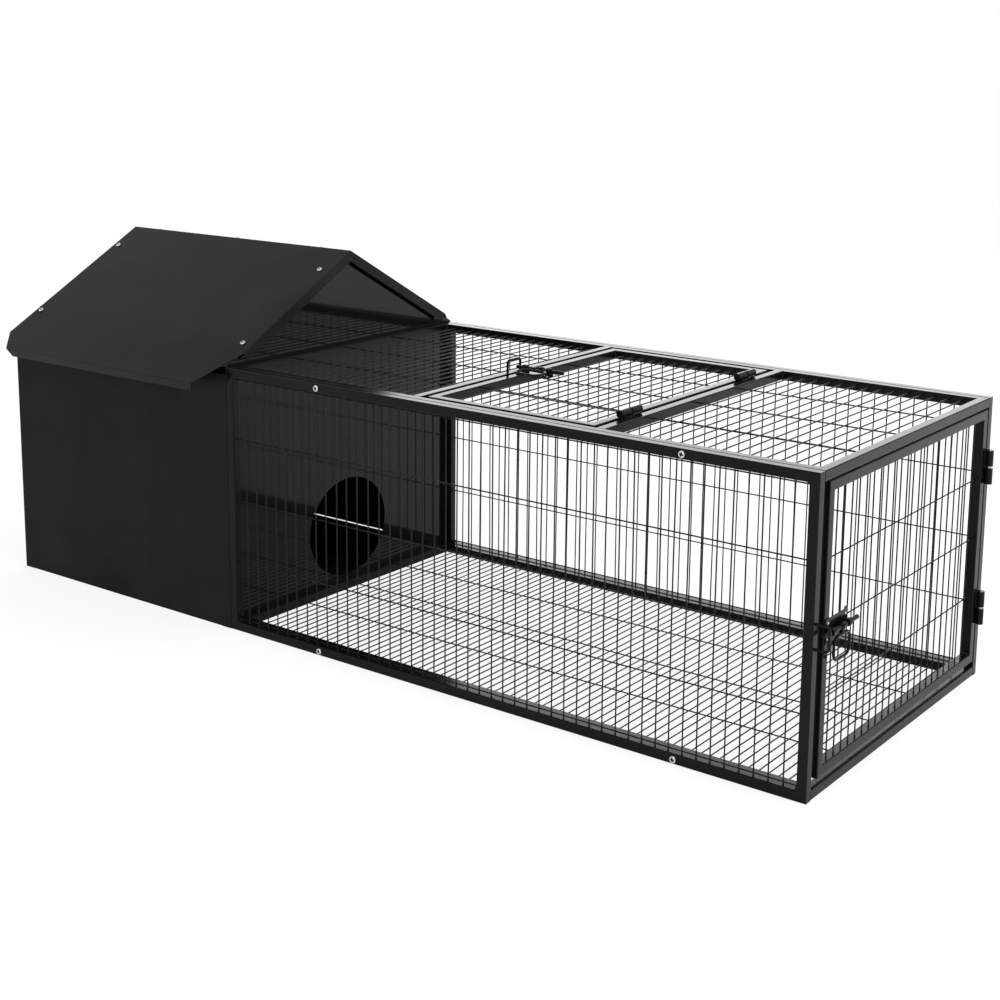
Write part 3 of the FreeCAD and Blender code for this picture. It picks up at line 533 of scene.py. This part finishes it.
def pan_head(mesh, base, axis, side, radius, height):
    """Domed head whose recess takes the piece's second material, a near-black metal that paints shade into
    the recess.
    """
    across = axis.cross(side)
    rows = []
    depths = {}
    for ring in range(1, HEAD_RINGS + 1):
        share = ring / HEAD_RINGS
        row = []
        for turn in range(HEAD_TURNS):
            angle = FULL_TURN * turn / HEAD_TURNS
            u, v = share * math.cos(angle), share * math.sin(angle)
            rise = height * (1 - DOME_FALL * share ** 2) * (1 - share ** RIM_POWER) ** 0.5
            arm = max(min(abs(u), abs(v)) - ARM_HALF_WIDTH, 0.0) / ARM_BLEND
            reach = max(share - ARM_REACH, 0.0) / REACH_BLEND
            sunk = max(0.0, 1 - max(arm, reach))
            rise -= sunk * RECESS_DEPTH * height
            vert = mesh.verts.new(base + radius * (u * side + v * across) + rise * axis)
            depths[vert] = sunk
            row.append(vert)
        rows.append(row)
    centre = mesh.verts.new(base + (1 - RECESS_DEPTH) * height * axis)
    depths[centre] = 1.0
    for turn in range(HEAD_TURNS):
        after = (turn + 1) % HEAD_TURNS
        faces = [mesh.faces.new((centre, rows[0][turn], rows[0][after]))]
        for one, two in zip(rows, rows[1:]):
            faces.append(mesh.faces.new((one[turn], two[turn], two[after], one[after])))
        for face in faces:
            face.material_index = int(max(depths[vert] for vert in face.verts) > PAINTED_SHADE_SINK)
    mesh.faces.new(list(reversed(rows[-1])))


def shank(mesh, base, axis, side, radius, length):
    """Threaded shank, as rings that step between crest and root."""
    across = axis.cross(side)
    count = max(2, int(length / THREAD_PITCH) * 2)
    angles = [FULL_TURN * k / SHANK_SIDES for k in range(SHANK_SIDES)]
    rings = []
    for step in range(count + 1):
        depth = length * step / count
        size = radius * (1.0 if step % 2 else THREAD_ROOT)
        rings.append([base - depth * axis + size * (math.cos(a) * side + math.sin(a) * across)
                      for a in angles])
    skin(mesh, rings)


def screw_piece(node, axis, head_height, shank_radius):
    """All screws of a node, each turned by chance about its axis."""
    dice = random.Random(node)
    axis = Vector(axis).normalized()
    mesh = bmesh.new()
    for points in islands(node):
        heights = [p.dot(axis) for p in points]
        flat = [p - p.dot(axis) * axis for p in points]
        low, high = extent(flat)
        middle = (low + high) / 2
        middle -= middle.dot(axis) * axis
        radius = max((p - middle).length for p in flat)
        base = middle + (max(heights) - head_height) * axis
        side = axis.orthogonal().normalized()
        side = Matrix.Rotation(dice.uniform(0, math.pi), 3, axis) @ side
        pan_head(mesh, base, axis, side, radius, head_height)
        shank(mesh, base, axis, side, shank_radius, max(heights) - head_height - min(heights))
    made = piece(node + "_heads", mesh, node, weighted=False)
    # Second material: the near-black metal that paints shade into the recesses
    made.data.materials.append(LOOKS["recess_painted_shade"])


for screws, axis, size in (
    ("front_panel_screws", (0, -1, 0), PANEL_SCREW),
    ("back_panel_screws", (0, 1, 0), PANEL_SCREW),
    ("roof_front_screws", FRONT_SLOPE, SHEET_SCREW),
    ("roof_back_screws", BACK_SLOPE, SHEET_SCREW),
    ("ridge_screws", BACK_SLOPE, SHEET_SCREW),
    ("gable_screws", (-1, 0, 0), SHEET_SCREW),
    ("partition_screws", (-1, 0, 0), SHEET_SCREW),
):
    screw_piece(screws, axis, *size)

# Hardware with eased edges, and the rivets of the latch plates
KNUCKLE_EASE, PLATE_EASE, LATCH_EASE = 0.9 * MM, 0.35 * MM, 0.6 * MM
for part, radius in (
    ("door_hinge_fixed_knuckles", KNUCKLE_EASE),
    ("door_hinge_moving_knuckles", KNUCKLE_EASE),
    ("hatch_hinge_fixed_knuckles", KNUCKLE_EASE),
    ("hatch_hinge_moving_knuckles", KNUCKLE_EASE),
    ("door_latch_plate", PLATE_EASE),
    ("hatch_latch_plate", PLATE_EASE),
    ("door_latch_guides", LATCH_EASE),
    ("hatch_latch_guides", LATCH_EASE),
    ("door_latch_bolt", LATCH_EASE),
    ("hatch_latch_bolt", LATCH_EASE),
):
    eased_piece(part, radius)

RIVET_INSET, RIVET_RADIUS, RIVET_RISE, RIVET_SINK = 6 * MM, 2.1 * MM, 1.2 * MM, 0.1 * MM
RIVET_SIDES, RIVET_SHARES = 16, (0.0, 0.25, 0.5, 0.72, 0.9)
# Height of the tab above the door's latch plate, which its upper rivets stay below
TAB_RISE = 3 * MM


def rivets(name, plate, axis, tab=0.0):
    """Four domed rivets on a latch plate, whose outer face looks along the axis."""
    low, high = (Vector(corner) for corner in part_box(plate))
    a, b = others(axis)
    mesh = bmesh.new()
    for ca in (low[a] + RIVET_INSET, high[a] - RIVET_INSET):
        for cb in (low[b] + RIVET_INSET, high[b] - RIVET_INSET - tab):
            rings = []
            for share in RIVET_SHARES:
                angle = math.pi / 2 * share
                middle = Vector()
                middle[a], middle[b] = ca, cb
                middle[axis] = high[axis] - RIVET_SINK + RIVET_RISE * math.sin(angle)
                rings.append(circle(middle, axis, RIVET_RADIUS * math.cos(angle), RIVET_SIDES))
            skin(mesh, rings)
    bmesh.ops.recalc_face_normals(mesh, faces=mesh.faces)
    for face in mesh.faces:
        face.smooth = True
    made = add_object(name, mesh, "zinc_steel")
    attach(made, BODY_OF[plate])


rivets("door_latch_rivets", "door_latch_plate", X, TAB_RISE)
rivets("hatch_latch_rivets", "hatch_latch_plate", Z)

# ---------------------------------------------------------------- floor, light and camera
FLOOR_REACH, FLOOR_DROP, FLOOR_TONE = 30.0, 0.2 * MM, 0.98
# Share of the floor's light that it gives off itself: seen directly, and the part of that in mirrors
GLOW_SHARE, GLOW_IN_MIRRORS = 0.8, 0.35


def combine(tree, operation, first, second):
    """Math node on a socket and a second socket or number."""
    node = tree.nodes.new("ShaderNodeMath")
    node.operation = operation
    tree.links.new(first, node.inputs[0])
    if isinstance(second, float):
        node.inputs[1].default_value = second
    else:
        tree.links.new(second, node.inputs[1])
    return node.outputs[0]


def floor_paper():
    """White paper that glows for camera and transmission rays, and in part for glossy ones."""
    material, tree, shader = new_material("floor_paper")
    shader.inputs["Base Color"].default_value = (FLOOR_TONE, FLOOR_TONE, FLOOR_TONE, 1)
    shader.inputs["Roughness"].default_value = 1.0
    shader.inputs["Specular IOR Level"].default_value = 0.0
    path = tree.nodes.new("ShaderNodeLightPath")
    mirrored = combine(tree, "MULTIPLY", path.outputs["Is Glossy Ray"], GLOW_IN_MIRRORS)
    seen = combine(tree, "MAXIMUM", path.outputs["Is Camera Ray"], mirrored)
    seen = combine(tree, "MAXIMUM", seen, path.outputs["Is Transmission Ray"])
    glow = add(tree, "ShaderNodeEmission", Strength=1.0)
    blend = tree.nodes.new("ShaderNodeMixShader")
    tree.links.new(combine(tree, "MULTIPLY", seen, GLOW_SHARE), blend.inputs[0])
    tree.links.new(shader.outputs[0], blend.inputs[1])
    tree.links.new(glow.outputs[0], blend.inputs[2])
    tree.links.new(blend.outputs[0], tree.nodes["Material Output"].inputs["Surface"])
    return material


def softbox(name, place, target, width, height, power):
    light = bpy.data.lights.new(name, "AREA")
    light.shape = "RECTANGLE"
    light.size = width
    light.size_y = height
    light.energy = power
    lamp = bpy.data.objects.new(name, light)
    lamp.location = place
    lamp.rotation_euler = (Vector(target) - Vector(place)).to_track_quat("-Z", "Y").to_euler()
    lamp.visible_camera = False
    scene.collection.objects.link(lamp)
    return lamp


world = bpy.data.worlds.new("studio")
scene.world = world
world.use_nodes = True
background = world.node_tree.nodes["Background"]
background.inputs["Color"].default_value = (1, 1, 1, 1)
background.inputs["Strength"].default_value = 1.0

floor_mesh = bpy.data.meshes.new("floor")
corners = [(sx * FLOOR_REACH, sy * FLOOR_REACH, 0) for sx, sy in ((-1, -1), (1, -1), (1, 1), (-1, 1))]
floor_mesh.from_pydata(corners, [], [(0, 1, 2, 3)])
floor_mesh.materials.append(floor_paper())
floor = bpy.data.objects.new("floor", floor_mesh)
floor.location.z = cad_low[2] - FLOOR_DROP
scene.collection.objects.link(floor)

softbox("key_light", (1.0, -1.2, 3.4), target=(0, 0, 0.2), width=2.4, height=2.4, power=26)
softbox("back_light", (-2.0, 3.2, 1.3), target=(0.1, 0, 0.42), width=3.4, height=1.6, power=30)
side_light = softbox("side_light", (3.4, 1.4, 0.9), target=(0.7, 0, 0.2), width=3.6, height=2.4, power=120)
# The lamp beside the door lights the floor there, and no sheet mirrors it
side_light.visible_glossy = False

# Camera fitted to the photograph: place in metres, angles in radians, lens and sensor in millimetres
CAMERA_PLACE = (1.5984, -2.0374, 0.9271)
YAW, PITCH, ROLL = -0.6447, -0.1866, 0.0086
LENS, SENSOR, SHIFT = 60.41, 36.0, -0.15
forward = Vector((math.sin(YAW) * math.cos(PITCH), math.cos(YAW) * math.cos(PITCH), math.sin(PITCH)))
level = Vector((math.cos(YAW), -math.sin(YAW), 0))
upright = level.cross(forward)
right = math.cos(ROLL) * level + math.sin(ROLL) * upright
up = -math.sin(ROLL) * level + math.cos(ROLL) * upright
camera_data = bpy.data.cameras.new("camera")
camera_data.sensor_width = SENSOR
camera_data.lens = LENS
camera_data.shift_y = SHIFT
camera = bpy.data.objects.new("camera", camera_data)
turn = Matrix((right, up, -forward)).transposed().to_4x4()
camera.matrix_world = Matrix.Translation(CAMERA_PLACE) @ turn
scene.collection.objects.link(camera)
scene.camera = camera
scene.view_settings.view_transform = "Standard"
